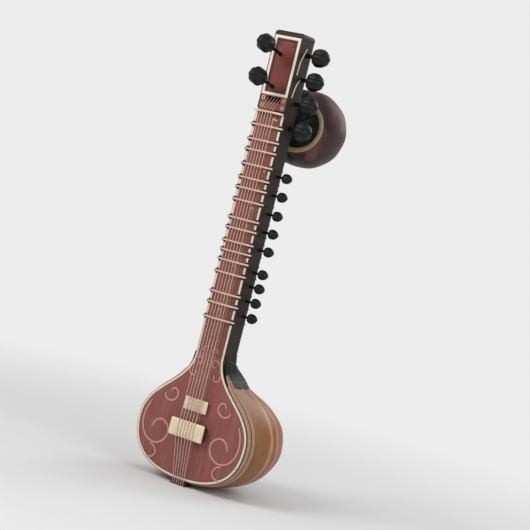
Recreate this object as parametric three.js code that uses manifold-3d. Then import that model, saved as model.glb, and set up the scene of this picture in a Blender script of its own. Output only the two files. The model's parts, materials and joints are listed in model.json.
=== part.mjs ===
// A full-size sitar. The instrument stands upright: +Z runs up the neck to the head, the
// soundboard faces -Y, and the row of tuning pegs points to +X. Lengths are millimetres.
// The origin is on the underside of the tailpiece, on the centre line of the neck.

import * as THREE from 'three';
import { ParametricGeometry } from 'three/addons/geometries/ParametricGeometry.js';
import { mergeVertices } from 'three/addons/utils/BufferGeometryUtils.js';
import Module from 'manifold-3d';

// ---- driving dimensions ----

const overallLength = 1220;
const gap = 0.3; // clearance between neighbouring pieces

const faceThickness = 5; // soundboard, neck plate and binding share this layer, Y 0 to 5
const bindingWidth = 7;
const woodFront = faceThickness + gap; // the gourd and the neck shell start behind the face

const neckHalfWidth = 44;
const neckDepth = 80;
const neckSideDepth = 54; // where the straight side ends and the round back begins
const neckWall = 6;
const neckBottom = 352;
const shellBottom = 354; // lower end of the neck's shell
const headBottom = 1010;
const capBottom = 1206;

const bowlHalfWidth = 174;
const bowlWidestZ = 143;
const bowlBottomZ = 14;
const shoulderPull = 97; // how far the bowl's side holds its width above the widest line
const throatPull = 90; // how far the neck's side holds its width below the neck's end
const bottomFullness = 0.66; // 0.55 would make the bowl's lower half an ellipse
const gourdDepth = 286;
const gourdBackHeight = 208; // the back of the gourd rises this far above the widest line
const sideBulge = 0.22; // how far the gourd swells past the face's edge, by direction
const topBulge = -0.15;
const bottomBulge = 0.225;
const gourdRounding = 0.7; // the lower, the sooner the gourd leaves the face's outline
const gourdWall = 6;

const rimBandReach = 25;
const rimBandThickness = 3;
const collarThickness = 4.5;
const sleeveThickness = 2.5; // where the collar wraps the neck
const collarLowZ = 284;
const collarHighZ = 366;
const sleeveLowZ = 312; // the sleeve starts inside the part of the collar that caps the gourd

const nutZ = 1003;
const nutThickness = 6;
const fretHeights = [966, 927, 899, 860, 824, 797, 764, 716, 689, 654, 629, 603, 570, 517, 488, 448];
const fretHalfSpan = 47;
const fretRadius = 2.6;
const fretCrown = 13; // height of the middle of the arch above the neck plate

const stringRadius = 0.9;
const stringCount = 6;
const nutStringY = -19.5;
const nutStringPitch = 9;
const bridgeStringY = -27;
const bridgeStringPitch = 10;
const tailStringPitch = 7;
const nutCentreX = 3;

const mainBridge = { width: 106, height: 46, z: 148, top: -26, plate: 9 };
const smallBridge = { width: 72, height: 34, z: 215, top: -10, plate: 6 };

const pegLine = 40; // distance of the side pegs behind the face
const sidePegHeights = [1169, 1105, 1040, 974];
const sidePegRadius = 5.5;
const facePegHeights = [1157, 1070];
const facePegX = -14;
const facePegRadius = 5;
const facePegTilt = 0.17; // radians, tips raised toward the head
const smallPegHeights = [845, 795, 744, 696, 648, 587, 549, 510, 469];
const smallPegRadius = 3.2;

const tumbaZ = 991;
const tumbaY = 198;
const tumbaRadius = 105;
const tumbaLength = 112; // half length along its own axis
const tumbaWall = 5;
const tumbaMouth = 68;
const tumbaYaw = 0.24; // radians, the mouth turns a little toward the pegs
const studRadius = 12;

// ---- solids: joins and cuts ----

const wasm = await Module();
wasm.setup();

// Merges a closed geometry's shared vertices and hands it over for joins and cuts.
function solid(geometry) {
  const bare = geometry.clone();
  bare.deleteAttribute('normal');
  bare.deleteAttribute('uv');
  const merged = mergeVertices(bare, 1e-4);
  const index = merged.index.array;
  const triangles = [];
  for (let i = 0; i < index.length; i += 3) {
    const [a, b, c] = [index[i], index[i + 1], index[i + 2]];
    if (a !== b && b !== c && c !== a) triangles.push(a, b, c);
  }
  return new wasm.Manifold(new wasm.Mesh({
    numProp: 3,
    vertProperties: new Float32Array(merged.attributes.position.array),
    triVerts: new Uint32Array(triangles),
  }));
}

function geometryOf(manifold) {
  const mesh = manifold.getMesh();
  const geometry = new THREE.BufferGeometry();
  geometry.setAttribute('position', new THREE.BufferAttribute(mesh.vertProperties, 3));
  geometry.setIndex(new THREE.BufferAttribute(mesh.triVerts, 1));
  geometry.computeVertexNormals();
  return geometry;
}

function boxSolid(min, max) {
  const size = [0, 1, 2].map((i) => max[i] - min[i]);
  const middle = [0, 1, 2].map((i) => (max[i] + min[i]) / 2);
  return solid(new THREE.BoxGeometry(...size).translate(...middle));
}

const boreLength = 30; // longer than any wall is thick
const cutDepth = 20; // reaches through the face from either side

// A round hole whose flats clear a shaft of the given radius; it runs along X through x.
function holeAlongX(shaftRadius, x, y, z) {
  const sides = 12;
  const radius = (shaftRadius + gap) / Math.cos(Math.PI / sides);
  const bore = new THREE.CylinderGeometry(radius, radius, boreLength, sides).rotateZ(Math.PI / 2);
  return solid(bore.translate(x, y, z));
}

// ---- materials ----

function finish(color, roughness, metalness = 0) {
  return new THREE.MeshStandardMaterial({ color, roughness, metalness });
}

const soundboardWood = finish('#8b5a52', 0.45);
const neckWood = finish('#463a38', 0.4);
const panelWood = finish('#7e4038', 0.4);
const gourdSkin = finish('#8f6048', 0.35);
const tumbaSkin = finish('#5a3f3c', 0.35);
const tanWood = finish('#9a8068', 0.45);
const darkCarving = finish('#2f3632', 0.5);
const pegWood = finish('#232626', 0.35);
const creamInlay = finish('#dcc8b4', 0.4);
const bridgeBone = finish('#d7c8a5', 0.45);
const brass = finish('#c0a488', 0.35, 0.6);
const stringMetal = finish('#cfa9a0', 0.3, 0.7);

// ---- assembly helpers ----

const sitar = new THREE.Group();

function add(name, geometry, material, parent = sitar) {
  const mesh = new THREE.Mesh(geometry, material);
  mesh.name = name;
  parent.add(mesh);
  return mesh;
}

// A flat plate cut from a shape drawn in the XZ plane, from y back by its thickness.
function facePlate(shape, y, thickness) {
  const geometry = new THREE.ExtrudeGeometry(shape, { depth: thickness, bevelEnabled: false });
  return geometry.rotateX(Math.PI / 2).translate(0, y + thickness, 0);
}

function rectangle(x0, z0, x1, z1) {
  return new THREE.Shape([
    new THREE.Vector2(x0, z0),
    new THREE.Vector2(x1, z0),
    new THREE.Vector2(x1, z1),
    new THREE.Vector2(x0, z1),
  ]);
}

// A curve whose equal steps land on the given points, so that corners stay sharp. At a corner
// its direction is halfway between the two legs, which keeps a rod round on both of them.
class CornerPath extends THREE.Curve {
  constructor(points) {
    super();
    this.points = points;
  }

  leg(step) {
    const start = THREE.MathUtils.clamp(step, 0, this.points.length - 2);
    return this.points[start + 1].clone().sub(this.points[start]).normalize();
  }

  getPoint(t, target = new THREE.Vector3()) {
    const place = THREE.MathUtils.clamp(t, 0, 1) * (this.points.length - 1);
    const step = Math.min(Math.floor(place), this.points.length - 2);
    return target.lerpVectors(this.points[step], this.points[step + 1], place - step);
  }

  getTangent(t, target = new THREE.Vector3()) {
    const nearest = Math.round(t * (this.points.length - 1));
    return target.copy(this.leg(nearest - 1)).add(this.leg(nearest)).normalize();
  }

  getUtoTmapping(u) {
    return u;
  }
}

function roundRod(path, radius, steps, sides) {
  const corners = Array.from({ length: sides }, (_, i) => {
    const turn = (i / sides) * Math.PI * 2;
    return new THREE.Vector2(radius * Math.cos(turn), radius * Math.sin(turn));
  });
  return new THREE.ExtrudeGeometry(new THREE.Shape(corners), { extrudePath: path, steps });
}

// ---- the outline of the face: neck side, shoulder, bowl and back up, as an open path ----

function faceOutline(topZ) {
  const path = new THREE.Path();
  path.moveTo(neckHalfWidth, topZ);
  path.lineTo(neckHalfWidth, neckBottom);
  path.bezierCurveTo(
    neckHalfWidth, neckBottom - throatPull,
    bowlHalfWidth, bowlWidestZ + shoulderPull,
    bowlHalfWidth, bowlWidestZ,
  );
  const lowest = bowlWidestZ - bowlBottomZ;
  const fullX = bowlHalfWidth * bottomFullness;
  const fullZ = bowlWidestZ - lowest * bottomFullness;
  path.bezierCurveTo(bowlHalfWidth, fullZ, fullX, bowlBottomZ, 0, bowlBottomZ);
  path.bezierCurveTo(-fullX, bowlBottomZ, -bowlHalfWidth, fullZ, -bowlHalfWidth, bowlWidestZ);
  path.bezierCurveTo(
    -bowlHalfWidth, bowlWidestZ + shoulderPull,
    -neckHalfWidth, neckBottom - throatPull,
    -neckHalfWidth, neckBottom,
  );
  path.lineTo(-neckHalfWidth, topZ);
  return path.getPoints(14);
}

// Moves an open path inward by a distance, square to the path at each point.
function inset(points, distance) {
  return points.map((point, i) => {
    const before = points[Math.max(i - 1, 0)];
    const after = points[Math.min(i + 1, points.length - 1)];
    const along = after.clone().sub(before).normalize();
    return new THREE.Vector2(point.x + along.y * distance, point.y - along.x * distance);
  });
}

const faceTopZ = nutZ - nutThickness / 2 - 0.5; // binding and neck plate end under the nut
const facePath = faceOutline(faceTopZ);

function faceBinding() {
  const inner = inset(facePath, bindingWidth).reverse();
  return facePlate(new THREE.Shape([...facePath, ...inner]), 0, faceThickness);
}

function soundboard() {
  const edge = inset(facePath, bindingWidth + gap).filter((point) => point.y < neckBottom + 1);
  return facePlate(new THREE.Shape(edge), 0, faceThickness);
}

function neckPlate() {
  const half = neckHalfWidth - bindingWidth - gap;
  const plate = solid(facePlate(rectangle(-half, neckBottom + gap, half, faceTopZ), 0, faceThickness));
  const { halfWidth, low, high } = chikariHole;
  const hole = boxSolid([chikariX - halfWidth, -cutDepth, low], [chikariX + halfWidth, cutDepth, high]);
  return geometryOf(plate.subtract(hole));
}

// ---- lower gourd, its rim band and its collar ----

// How far the gourd reaches from its middle line at a turn of angle behind the face. It starts
// on the face's outline and rounds out toward an oval at the back.
function gourdReach(place, angle) {
  const rim = Math.hypot(place.x, place.z);
  const across = place.x / rim;
  const up = place.z / rim;
  const height = up > 0 ? gourdBackHeight : bowlWidestZ - bowlBottomZ;
  const oval = 1 / Math.hypot(across / bowlHalfWidth, up / height);
  const bulge = sideBulge * across ** 2 + (up > 0 ? topBulge : bottomBulge) * up ** 2;
  const rounding = Math.sin(angle) ** gourdRounding;
  const reach = rim + (oval - rim) * rounding;
  return reach * (Math.cos(angle) + bulge * Math.sin(2 * angle));
}

// The bowl's solid shape, grown outward by grow, with its flat front at frontY.
function gourdSolid(grow, frontY) {
  const outline = facePath.filter((point) => point.y < neckBottom + 1);
  const stacks = 11;
  const surface = (u, v, target) => {
    const rim = outline[Math.round(u * outline.length) % outline.length];
    const place = { x: rim.x, z: rim.y - bowlWidestZ };
    const row = Math.round(v * stacks); // row 0 is the middle of the flat front, row 1 its edge
    const angle = row < 2 ? 0 : ((row - 1) / (stacks - 1)) * (Math.PI / 2);
    const isPoint = row === 0 || row === stacks;
    const reach = isPoint ? 0 : gourdReach(place, angle) + grow * Math.cos(angle);
    const share = reach / Math.hypot(place.x, place.z);
    const y = row === 0 ? 0 : (gourdDepth + grow) * Math.sin(angle);
    target.set(place.x * share, frontY + y, bowlWidestZ + place.z * share);
  };
  return solid(new ParametricGeometry(surface, outline.length, stacks));
}

// The neck's outer shape between two heights, grown outward by grow.
function neckSolid(grow, frontY, lowZ, highZ) {
  const half = neckHalfWidth + grow;
  const shape = new THREE.Shape();
  shape.moveTo(-half, frontY);
  shape.lineTo(half, frontY);
  shape.lineTo(half, neckSideDepth);
  shape.absellipse(0, neckSideDepth, half, neckDepth - neckSideDepth + grow, 0, Math.PI, false);
  shape.lineTo(-half, frontY);
  const settings = { depth: highZ - lowZ, bevelEnabled: false, curveSegments: 6 };
  return solid(new THREE.ExtrudeGeometry(shape, settings).translate(0, 0, lowZ));
}

function lowerGourd() {
  const hollow = gourdSolid(-gourdWall, woodFront - 1);
  return geometryOf(gourdSolid(0, woodFront).subtract(hollow));
}

function rimBand() {
  const reach = bowlHalfWidth * 2;
  const zone = boxSolid([-reach, 0, -reach], [reach, rimBandReach, collarLowZ - gap]);
  const outer = gourdSolid(rimBandThickness, woodFront);
  return geometryOf(outer.intersect(zone).subtract(gourdSolid(gap, woodFront)));
}

// The wooden block that carries the neck: it caps the gourd's shoulder and sleeves the neck's end.
function neckCollar() {
  const reach = bowlHalfWidth * 2;
  const onGourd = gourdSolid(collarThickness, woodFront)
    .intersect(boxSolid([-reach, 0, collarLowZ], [reach, reach, shellBottom]));
  const onNeck = neckSolid(sleeveThickness, woodFront, sleeveLowZ, collarHighZ);
  return geometryOf(onGourd.add(onNeck)
    .subtract(gourdSolid(gap, woodFront))
    .subtract(neckSolid(gap, woodFront - 1, shellBottom - gap, collarHighZ + 1)));
}

// ---- neck and head ----

function neckShell() {
  let shell = neckSolid(0, woodFront, shellBottom, headBottom)
    .subtract(neckSolid(-neckWall, woodFront - 1, shellBottom - 1, headBottom + 1));
  for (const z of smallPegHeights) {
    shell = shell.subtract(holeAlongX(smallPegRadius, neckHalfWidth, pegLine, z));
  }
  return geometryOf(shell.subtract(holeAlongX(sidePegRadius, neckHalfWidth, pegLine, sidePegHeights[3])));
}

const panelHalfWidth = 40;
const panelInset = 1; // the red panel lies this far below the face
const frameWidth = 7;
const frameRise = 2; // the frame stands this far proud of the face
const frameBottom = 1048;

function headBlock() {
  const bottom = headBottom + gap;
  const top = capBottom - gap;
  const rebate = boxSolid(
    [-panelHalfWidth - gap, -1, bottom - 1],
    [panelHalfWidth + gap, faceThickness + gap, top + 1],
  );
  let block = neckSolid(0, 0, bottom, top)
    .subtract(neckSolid(-neckWall, -1, bottom - 1, top + 1))
    .subtract(rebate);
  for (const z of sidePegHeights.slice(0, 3)) {
    block = block.subtract(holeAlongX(sidePegRadius, neckHalfWidth, pegLine, z));
  }
  return geometryOf(block);
}

// A hole through the head's face for a tilted face peg.
function facePegHole(z) {
  const clearance = 1; // wider than the gap, because the hole is tilted
  const radius = facePegRadius + clearance;
  const bore = new THREE.CylinderGeometry(radius, radius, 2 * cutDepth, 12).rotateX(-facePegTilt);
  return solid(bore.translate(facePegX, 0, z));
}

function headPanel() {
  const half = panelHalfWidth - frameWidth - gap;
  const bottom = frameBottom + frameWidth + gap;
  const top = capBottom - gap - frameWidth - gap;
  const outline = rectangle(-half, bottom, half, top);
  let panel = solid(facePlate(outline, panelInset, faceThickness - panelInset));
  for (const z of facePegHeights) {
    panel = panel.subtract(facePegHole(z));
  }
  return geometryOf(panel);
}

function headFrame() {
  const top = capBottom - gap;
  const outline = rectangle(-panelHalfWidth, frameBottom, panelHalfWidth, top);
  const half = panelHalfWidth - frameWidth;
  const opening = new THREE.Path([
    new THREE.Vector2(-half, frameBottom + frameWidth),
    new THREE.Vector2(-half, top - frameWidth),
    new THREE.Vector2(half, top - frameWidth),
    new THREE.Vector2(half, frameBottom + frameWidth),
  ]);
  outline.holes.push(opening);
  return facePlate(outline, -frameRise, faceThickness + frameRise);
}

// The plate between nut and frame, with the slot where the strings go inside the head.
const slotLeft = -24;
const slotRight = 22;
const slotLowZ = 1030;
const slotHighZ = 1045;

function crestPlate() {
  const plate = solid(facePlate(
    rectangle(-panelHalfWidth, headBottom + gap, panelHalfWidth, frameBottom - gap), 0, faceThickness,
  ));
  const slot = boxSolid([slotLeft, -cutDepth, slotLowZ], [slotRight, cutDepth, slotHighZ]);
  return geometryOf(plate.subtract(slot));
}

// The dark rounded end of the head.
function headCap() {
  const round = 9;
  const height = overallLength - capBottom;
  const shape = new THREE.Shape();
  const half = neckHalfWidth - round;
  shape.moveTo(-half, round);
  shape.lineTo(half, round);
  shape.lineTo(half, neckSideDepth);
  shape.absellipse(0, neckSideDepth, half, neckDepth - neckSideDepth - round, 0, Math.PI, false);
  shape.lineTo(-half, round);
  const blank = new THREE.ExtrudeGeometry(shape, {
    depth: 2 * (height - round),
    bevelThickness: round,
    bevelSize: round,
    bevelSegments: 4,
    curveSegments: 6,
  }).translate(0, 0, capBottom - (height - round));
  const reach = neckHalfWidth + neckDepth;
  const keep = boxSolid([-reach, -reach, capBottom], [reach, reach, overallLength + 1]);
  return geometryOf(solid(blank).intersect(keep));
}

// ---- what the strings run over ----

function barAcross(halfWidth, lowZ, highZ, topY, baseY) {
  const height = baseY - topY;
  const shape = new THREE.Shape();
  const ease = Math.min(2, (highZ - lowZ) / 3);
  shape.moveTo(lowZ, 0);
  shape.lineTo(highZ, 0);
  shape.lineTo(highZ, height - ease);
  shape.quadraticCurveTo(highZ, height, highZ - ease, height);
  shape.lineTo(lowZ + ease, height);
  shape.quadraticCurveTo(lowZ, height, lowZ, height - ease);
  const settings = { depth: halfWidth * 2, bevelEnabled: false, curveSegments: 3 };
  const geometry = new THREE.ExtrudeGeometry(shape, settings);
  // shape x becomes Z, shape height becomes -Y, the extrusion runs along X
  const turn = new THREE.Matrix4().makeBasis(
    new THREE.Vector3(0, 0, 1),
    new THREE.Vector3(0, -1, 0),
    new THREE.Vector3(1, 0, 0),
  );
  return geometry.applyMatrix4(turn).translate(-halfWidth, baseY, 0);
}

function nut() {
  const top = nutStringY + stringRadius + gap;
  return barAcross(neckHalfWidth - 1, nutZ - nutThickness / 2, nutZ + nutThickness / 2, top, -gap);
}

// A bridge is one piece of bone: a broad plate that stands on two feet.
function bridge({ width, height, z, top, plate }) {
  const low = z - height / 2;
  const high = z + height / 2;
  const footWidth = width * 0.24;
  const sideInset = 2; // the plate overhangs the feet at its sides and ends
  const endInset = 5;
  const overlap = 2; // the feet run up into the plate
  const deck = solid(barAcross(width / 2, low, high, top, top + plate));
  const foot = (side) => {
    const outer = side * (width / 2 - sideInset);
    const inner = side * (width / 2 - sideInset - footWidth);
    return boxSolid(
      [Math.min(outer, inner), top + plate - overlap, low + endInset],
      [Math.max(outer, inner), -gap, high - endInset],
    );
  };
  return geometryOf(deck.add(foot(1)).add(foot(-1)));
}

// The tailpiece hooks under the tail: a flat sole below the bowl and a lip under the binding.
const tailFront = -3;
const tailBack = 30;
const tailHalfWidth = 24;
const soleThickness = 5;

function tailpiece() {
  const half = tailHalfWidth;
  const sole = boxSolid([-half, tailFront, 0], [half, tailBack, soleThickness]);
  const lip = boxSolid([-half, tailFront, 0], [half, faceThickness, bowlBottomZ - gap]);
  return geometryOf(sole.add(lip));
}

// ---- frets and strings ----

function fret(z) {
  const control = -2 * fretCrown + fretRadius + gap;
  const arch = new THREE.QuadraticBezierCurve3(
    new THREE.Vector3(-fretHalfSpan, -fretRadius - gap, z),
    new THREE.Vector3(0, control, z),
    new THREE.Vector3(fretHalfSpan, -fretRadius - gap, z),
  );
  return roundRod(arch, fretRadius, 8, 6);
}

// The last string's own post, and the hole in the neck plate that it goes down.
const chikariX = nutCentreX + 2.5 * nutStringPitch;
const chikariZ = 986;
const chikariRadius = 2;
const chikariHeight = 18.5; // of the string's middle above the face
const chikariHole = { halfWidth: 3, low: 991, middle: 995, high: 997.5 };

const pegReach = pegLine - sidePegRadius - stringRadius - gap; // where a string meets a side peg
const slotDepth = 3; // a string passes the slot at this depth
const underPanel = 12; // and runs at this depth behind the panel
const firstStringLean = -4.5; // the first string passes beside the face pegs

// Where each string goes after the nut, by string number. Strings 2 and 3 end just below the
// face pegs, the others at the side pegs.
function stringEnd(index) {
  const x = nutCentreX + (index - 2.5) * nutStringPitch;
  const slotMiddle = new THREE.Vector3(x, slotDepth, (slotLowZ + slotHighZ) / 2);
  const sideways = index === 0 ? firstStringLean : 0;
  const inside = new THREE.Vector3(x + sideways, underPanel, slotHighZ + 5);
  const ends = [
    new THREE.Vector3(-25, pegReach, sidePegHeights[0]),
    new THREE.Vector3(x, underPanel, facePegHeights[1] - facePegRadius - 4),
    new THREE.Vector3(facePegX + facePegRadius + 2.5, 20, facePegHeights[0] - facePegRadius - 2),
    new THREE.Vector3(8, pegReach, sidePegHeights[1]),
    new THREE.Vector3(18, pegReach, sidePegHeights[2]),
  ];
  return [new THREE.Vector3(x, nutStringY, nutZ + nutThickness / 2), slotMiddle, inside, ends[index]];
}

// The sixth string leaves the face below the nut, over its own post.
function lastStringEnd() {
  const pastPost = 1.4; // it stays level until it is clear of the post
  return [
    new THREE.Vector3(chikariX, -chikariHeight, chikariZ + chikariRadius + pastPost),
    new THREE.Vector3(chikariX, 2, chikariHole.middle),
    new THREE.Vector3(chikariX, pegReach, sidePegHeights[3]),
  ];
}

function playingString(index) {
  const bridgeX = (index - 2.5) * bridgeStringPitch;
  const tailX = (index - 2.5) * tailStringPitch;
  const tailY = tailFront - gap - stringRadius;
  const lowest = new THREE.Vector3(tailX, tailY, 2);
  const overLip = new THREE.Vector3(tailX, tailY, bowlBottomZ - 2);
  const halfDeck = mainBridge.height / 2;
  const ontoBridge = new THREE.Vector3(bridgeX, bridgeStringY, mainBridge.z - halfDeck);
  const offBridge = new THREE.Vector3(bridgeX, bridgeStringY, mainBridge.z + halfDeck);
  const upper = index < stringCount - 1 ? stringEnd(index) : lastStringEnd();
  const points = [lowest, overLip, ontoBridge, offBridge, ...upper];
  return roundRod(new CornerPath(points), stringRadius, points.length - 1, 6);
}

// A bone pin that lifts the sixth string.
function chikariPost() {
  const top = chikariHeight - stringRadius - gap;
  const pin = new THREE.CylinderGeometry(chikariRadius, chikariRadius, top, 10);
  return pin.translate(chikariX, -top / 2, chikariZ);
}

// ---- pegs ----

// Lengths of the shaft on each side of the wood, then the bud it ends in.
const bigBud = { budRadius: 24, budLength: 50 };
const smallBud = { budRadius: 12.5, budLength: 30 };
const sidePegShape = { inside: 72, outside: 20, shaftRadius: sidePegRadius, ...bigBud };
const facePegShape = { inside: 48, outside: 58, shaftRadius: facePegRadius, ...bigBud };
const smallPegShape = { inside: 56, outside: 17, shaftRadius: smallPegRadius, ...smallBud };

// A turned peg along +Y: a shaft that starts at -inside and ends in a bud with a pointed tip.
function peg({ inside, outside, shaftRadius, budRadius, budLength }) {
  const profile = [
    new THREE.Vector2(0, -inside),
    new THREE.Vector2(shaftRadius, -inside),
    new THREE.Vector2(shaftRadius, outside),
  ];
  const bud = new THREE.SplineCurve([
    new THREE.Vector2(budRadius * 0.45, outside),
    new THREE.Vector2(budRadius * 0.9, outside + budLength * 0.2),
    new THREE.Vector2(budRadius, outside + budLength * 0.42),
    new THREE.Vector2(budRadius * 0.75, outside + budLength * 0.72),
    new THREE.Vector2(budRadius * 0.24, outside + budLength * 0.9),
    new THREE.Vector2(0, outside + budLength),
  ]);
  return new THREE.LatheGeometry([...profile, ...bud.getPoints(7)], 10);
}

// ---- upper gourd: it turns on its stud, so its pieces sit in one turned group ----

function tumbaArc(length, radius, mouth) {
  const stop = Math.asin(mouth / radius);
  const steps = 12;
  const points = [];
  for (let i = 0; i <= steps; i += 1) {
    const angle = (i / steps) * (Math.PI - stop);
    points.push(new THREE.Vector2(radius * Math.sin(angle), length * Math.cos(angle)));
  }
  points[0].x = 0;
  return points;
}

function upperGourd() {
  const outer = tumbaArc(tumbaLength, tumbaRadius, tumbaMouth);
  const inner = tumbaArc(tumbaLength - tumbaWall, tumbaRadius - tumbaWall, tumbaMouth - tumbaWall);
  return new THREE.LatheGeometry([...outer, ...inner.reverse()].reverse(), 28);
}

const mouthY = -tumbaLength * Math.cos(Math.asin(tumbaMouth / tumbaRadius));
const ringInner = tumbaMouth - 8;
const ringHeight = 5;

function upperGourdRing() {
  const profile = [
    new THREE.Vector2(ringInner, mouthY - gap),
    new THREE.Vector2(ringInner, mouthY - ringHeight),
    new THREE.Vector2(tumbaMouth, mouthY - ringHeight),
    new THREE.Vector2(tumbaMouth + 2, mouthY - gap),
    new THREE.Vector2(ringInner, mouthY - gap),
  ];
  return new THREE.LatheGeometry(profile, 28);
}

// A shallow domed lid inside the ring, with a hole for the stud.
function upperGourdDisc() {
  const radius = ringInner - gap;
  const profile = [
    new THREE.Vector2(0, mouthY - 8),
    new THREE.Vector2(radius * 0.6, mouthY - 6.5),
    new THREE.Vector2(radius, mouthY - 3),
    new THREE.Vector2(radius, mouthY + 3),
    new THREE.Vector2(0, mouthY + 3),
  ];
  const disc = solid(new THREE.LatheGeometry(profile, 28));
  const hole = new THREE.CylinderGeometry(studRadius + 1, studRadius + 1, 2 * tumbaLength, 20);
  return geometryOf(disc.subtract(solid(hole.rotateZ(-tumbaYaw))));
}

const studStart = 50;
const studEnd = 126;
const flangeStart = 54;
const flangeEnd = 90;
const flangeRadius = 24;

// The stud stands square on the neck's back; its foot is hollowed to the neck's curve.
function upperGourdStud() {
  const rod = new THREE.CylinderGeometry(studRadius, studRadius, studEnd - studStart, 16);
  const flange = new THREE.CylinderGeometry(flangeRadius, flangeRadius + 2, flangeEnd - flangeStart, 20);
  const blank = solid(rod.translate(0, (studStart + studEnd) / 2, tumbaZ))
    .add(solid(flange.translate(0, (flangeStart + flangeEnd) / 2, tumbaZ)));
  const beside = neckSolid(gap, woodFront, tumbaZ - 2 * flangeRadius, tumbaZ + 2 * flangeRadius);
  return geometryOf(blank.subtract(beside));
}

// ---- assembly ----

add('lower_gourd', lowerGourd(), gourdSkin);
add('gourd_rim_band', rimBand(), tanWood);
add('neck_collar', neckCollar(), darkCarving);
add('soundboard', soundboard(), soundboardWood);
add('face_binding', faceBinding(), creamInlay);
add('neck_shell', neckShell(), neckWood);
add('neck_face_plate', neckPlate(), soundboardWood);
add('head_block', headBlock(), neckWood);
add('head_panel', headPanel(), panelWood);
add('head_panel_frame', headFrame(), creamInlay);
add('head_cap', headCap(), neckWood);
add('crest_plate', crestPlate(), soundboardWood);
add('nut', nut(), bridgeBone);
add('main_bridge', bridge(mainBridge), bridgeBone);
add('small_bridge', bridge(smallBridge), bridgeBone);
add('tailpiece', tailpiece(), bridgeBone);
add('chikari_post', chikariPost(), bridgeBone);

fretHeights.forEach((z, i) => add(`fret_${String(i + 1).padStart(2, '0')}`, fret(z), brass));

for (let i = 0; i < stringCount; i += 1) {
  add(`string_${i + 1}`, playingString(i), stringMetal);
}

sidePegHeights.forEach((z, i) => {
  const turned = peg(sidePegShape).rotateZ(-Math.PI / 2);
  add(`side_peg_${i + 1}`, turned, pegWood).position.set(neckHalfWidth, pegLine, z);
});

facePegHeights.forEach((z, i) => {
  const turned = peg(facePegShape).rotateX(Math.PI - facePegTilt);
  add(`face_peg_${i + 1}`, turned, pegWood).position.set(facePegX, 0, z);
});

smallPegHeights.forEach((z, i) => {
  const turned = peg(smallPegShape).rotateZ(-Math.PI / 2);
  add(`small_peg_${i + 1}`, turned, pegWood).position.set(neckHalfWidth, pegLine, z);
});

const tumba = new THREE.Group();
tumba.position.set(0, tumbaY, tumbaZ);
tumba.rotation.z = tumbaYaw;
sitar.add(tumba);
add('upper_gourd', upperGourd(), tumbaSkin, tumba);
add('upper_gourd_ring', upperGourdRing(), tanWood, tumba);
add('upper_gourd_disc', upperGourdDisc(), darkCarving, tumba);
add('upper_gourd_stud', upperGourdStud(), darkCarving);

export default sitar;
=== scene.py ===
"""A full-size sitar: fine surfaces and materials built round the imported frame. Lengths are metres."""
import json
import math

import bmesh
import bpy
import numpy as np
from mathutils import Matrix, Vector

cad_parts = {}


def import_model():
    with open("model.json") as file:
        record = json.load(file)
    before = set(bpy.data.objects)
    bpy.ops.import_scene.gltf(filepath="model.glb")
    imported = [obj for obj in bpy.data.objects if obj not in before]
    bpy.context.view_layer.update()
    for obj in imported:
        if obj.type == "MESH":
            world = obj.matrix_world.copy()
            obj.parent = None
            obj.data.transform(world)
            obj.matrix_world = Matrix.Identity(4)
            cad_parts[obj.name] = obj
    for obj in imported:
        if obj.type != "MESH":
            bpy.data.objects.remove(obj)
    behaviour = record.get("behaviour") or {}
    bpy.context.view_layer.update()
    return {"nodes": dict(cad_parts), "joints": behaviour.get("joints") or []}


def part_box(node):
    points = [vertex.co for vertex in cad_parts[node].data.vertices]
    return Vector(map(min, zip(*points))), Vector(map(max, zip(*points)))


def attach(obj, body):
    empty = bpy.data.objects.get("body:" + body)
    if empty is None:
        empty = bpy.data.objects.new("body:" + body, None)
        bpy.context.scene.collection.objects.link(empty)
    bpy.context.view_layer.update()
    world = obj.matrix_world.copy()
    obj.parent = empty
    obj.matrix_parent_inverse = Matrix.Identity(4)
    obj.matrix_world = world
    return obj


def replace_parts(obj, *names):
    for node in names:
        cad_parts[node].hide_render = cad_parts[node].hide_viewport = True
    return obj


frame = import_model()

# ---- sizes: read from the frame where a node shows them ----

binding_low, binding_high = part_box("face_binding")
plate_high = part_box("neck_face_plate")[1]
head_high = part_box("head_block")[1]
gourd_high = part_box("lower_gourd")[1]
frame_low, frame_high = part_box("head_panel_frame")
crest_low, crest_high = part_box("crest_plate")
small_bridge_low, small_bridge_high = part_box("small_bridge")
collar_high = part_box("neck_collar")[1]

GAP = 0.0003
FACE = binding_high.y                      # back of the layer that holds soundboard and binding
WOOD_FRONT = FACE + GAP
BINDING_WIDTH = 0.007
NECK_HALF = head_high.x
NECK_DEPTH = head_high.y
NECK_SIDE = 0.054                          # depth where the straight neck side turns round
NECK_BASE = 0.352
BOWL_HALF = binding_high.x
BOWL_BOTTOM = binding_low.z
BOWL_Z = 0.143                             # height of the bowl's widest line
SHOULDER_PULL = 0.097
THROAT_PULL = 0.090
BOTTOM_FULLNESS = 0.66
GOURD_DEPTH = gourd_high.y - WOOD_FRONT
BACK_HEIGHT = 0.208
SIDE_BULGE = 0.22
TOP_BULGE = -0.15
BOTTOM_BULGE = 0.225
RIM_REACH = 0.026
COLLAR_LOW = 0.286

FRET_SPAN = 0.0470
FRET_CROWN = 0.0130
FRET_SLIDE = 0.005
PEG_LINE = 0.040
SIDE_SHAFT = 0.0055
FACE_SHAFT = 0.0050
SMALL_SHAFT = 0.0032

TUMBA_CENTRE = Vector((0, 0.198, 0.991))
TUMBA_YAW = 0.24
TUMBA_RADIUS = 0.105
TUMBA_LENGTH = 0.112
TUMBA_MOUTH = 0.068
STUD_FLANGE = 0.026
MOUTH = TUMBA_LENGTH * math.cos(math.asin(TUMBA_MOUTH / TUMBA_RADIUS))
TUMBA_PLACE = Matrix.Translation(TUMBA_CENTRE) @ Matrix.Rotation(TUMBA_YAW, 4, "Z")

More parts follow.
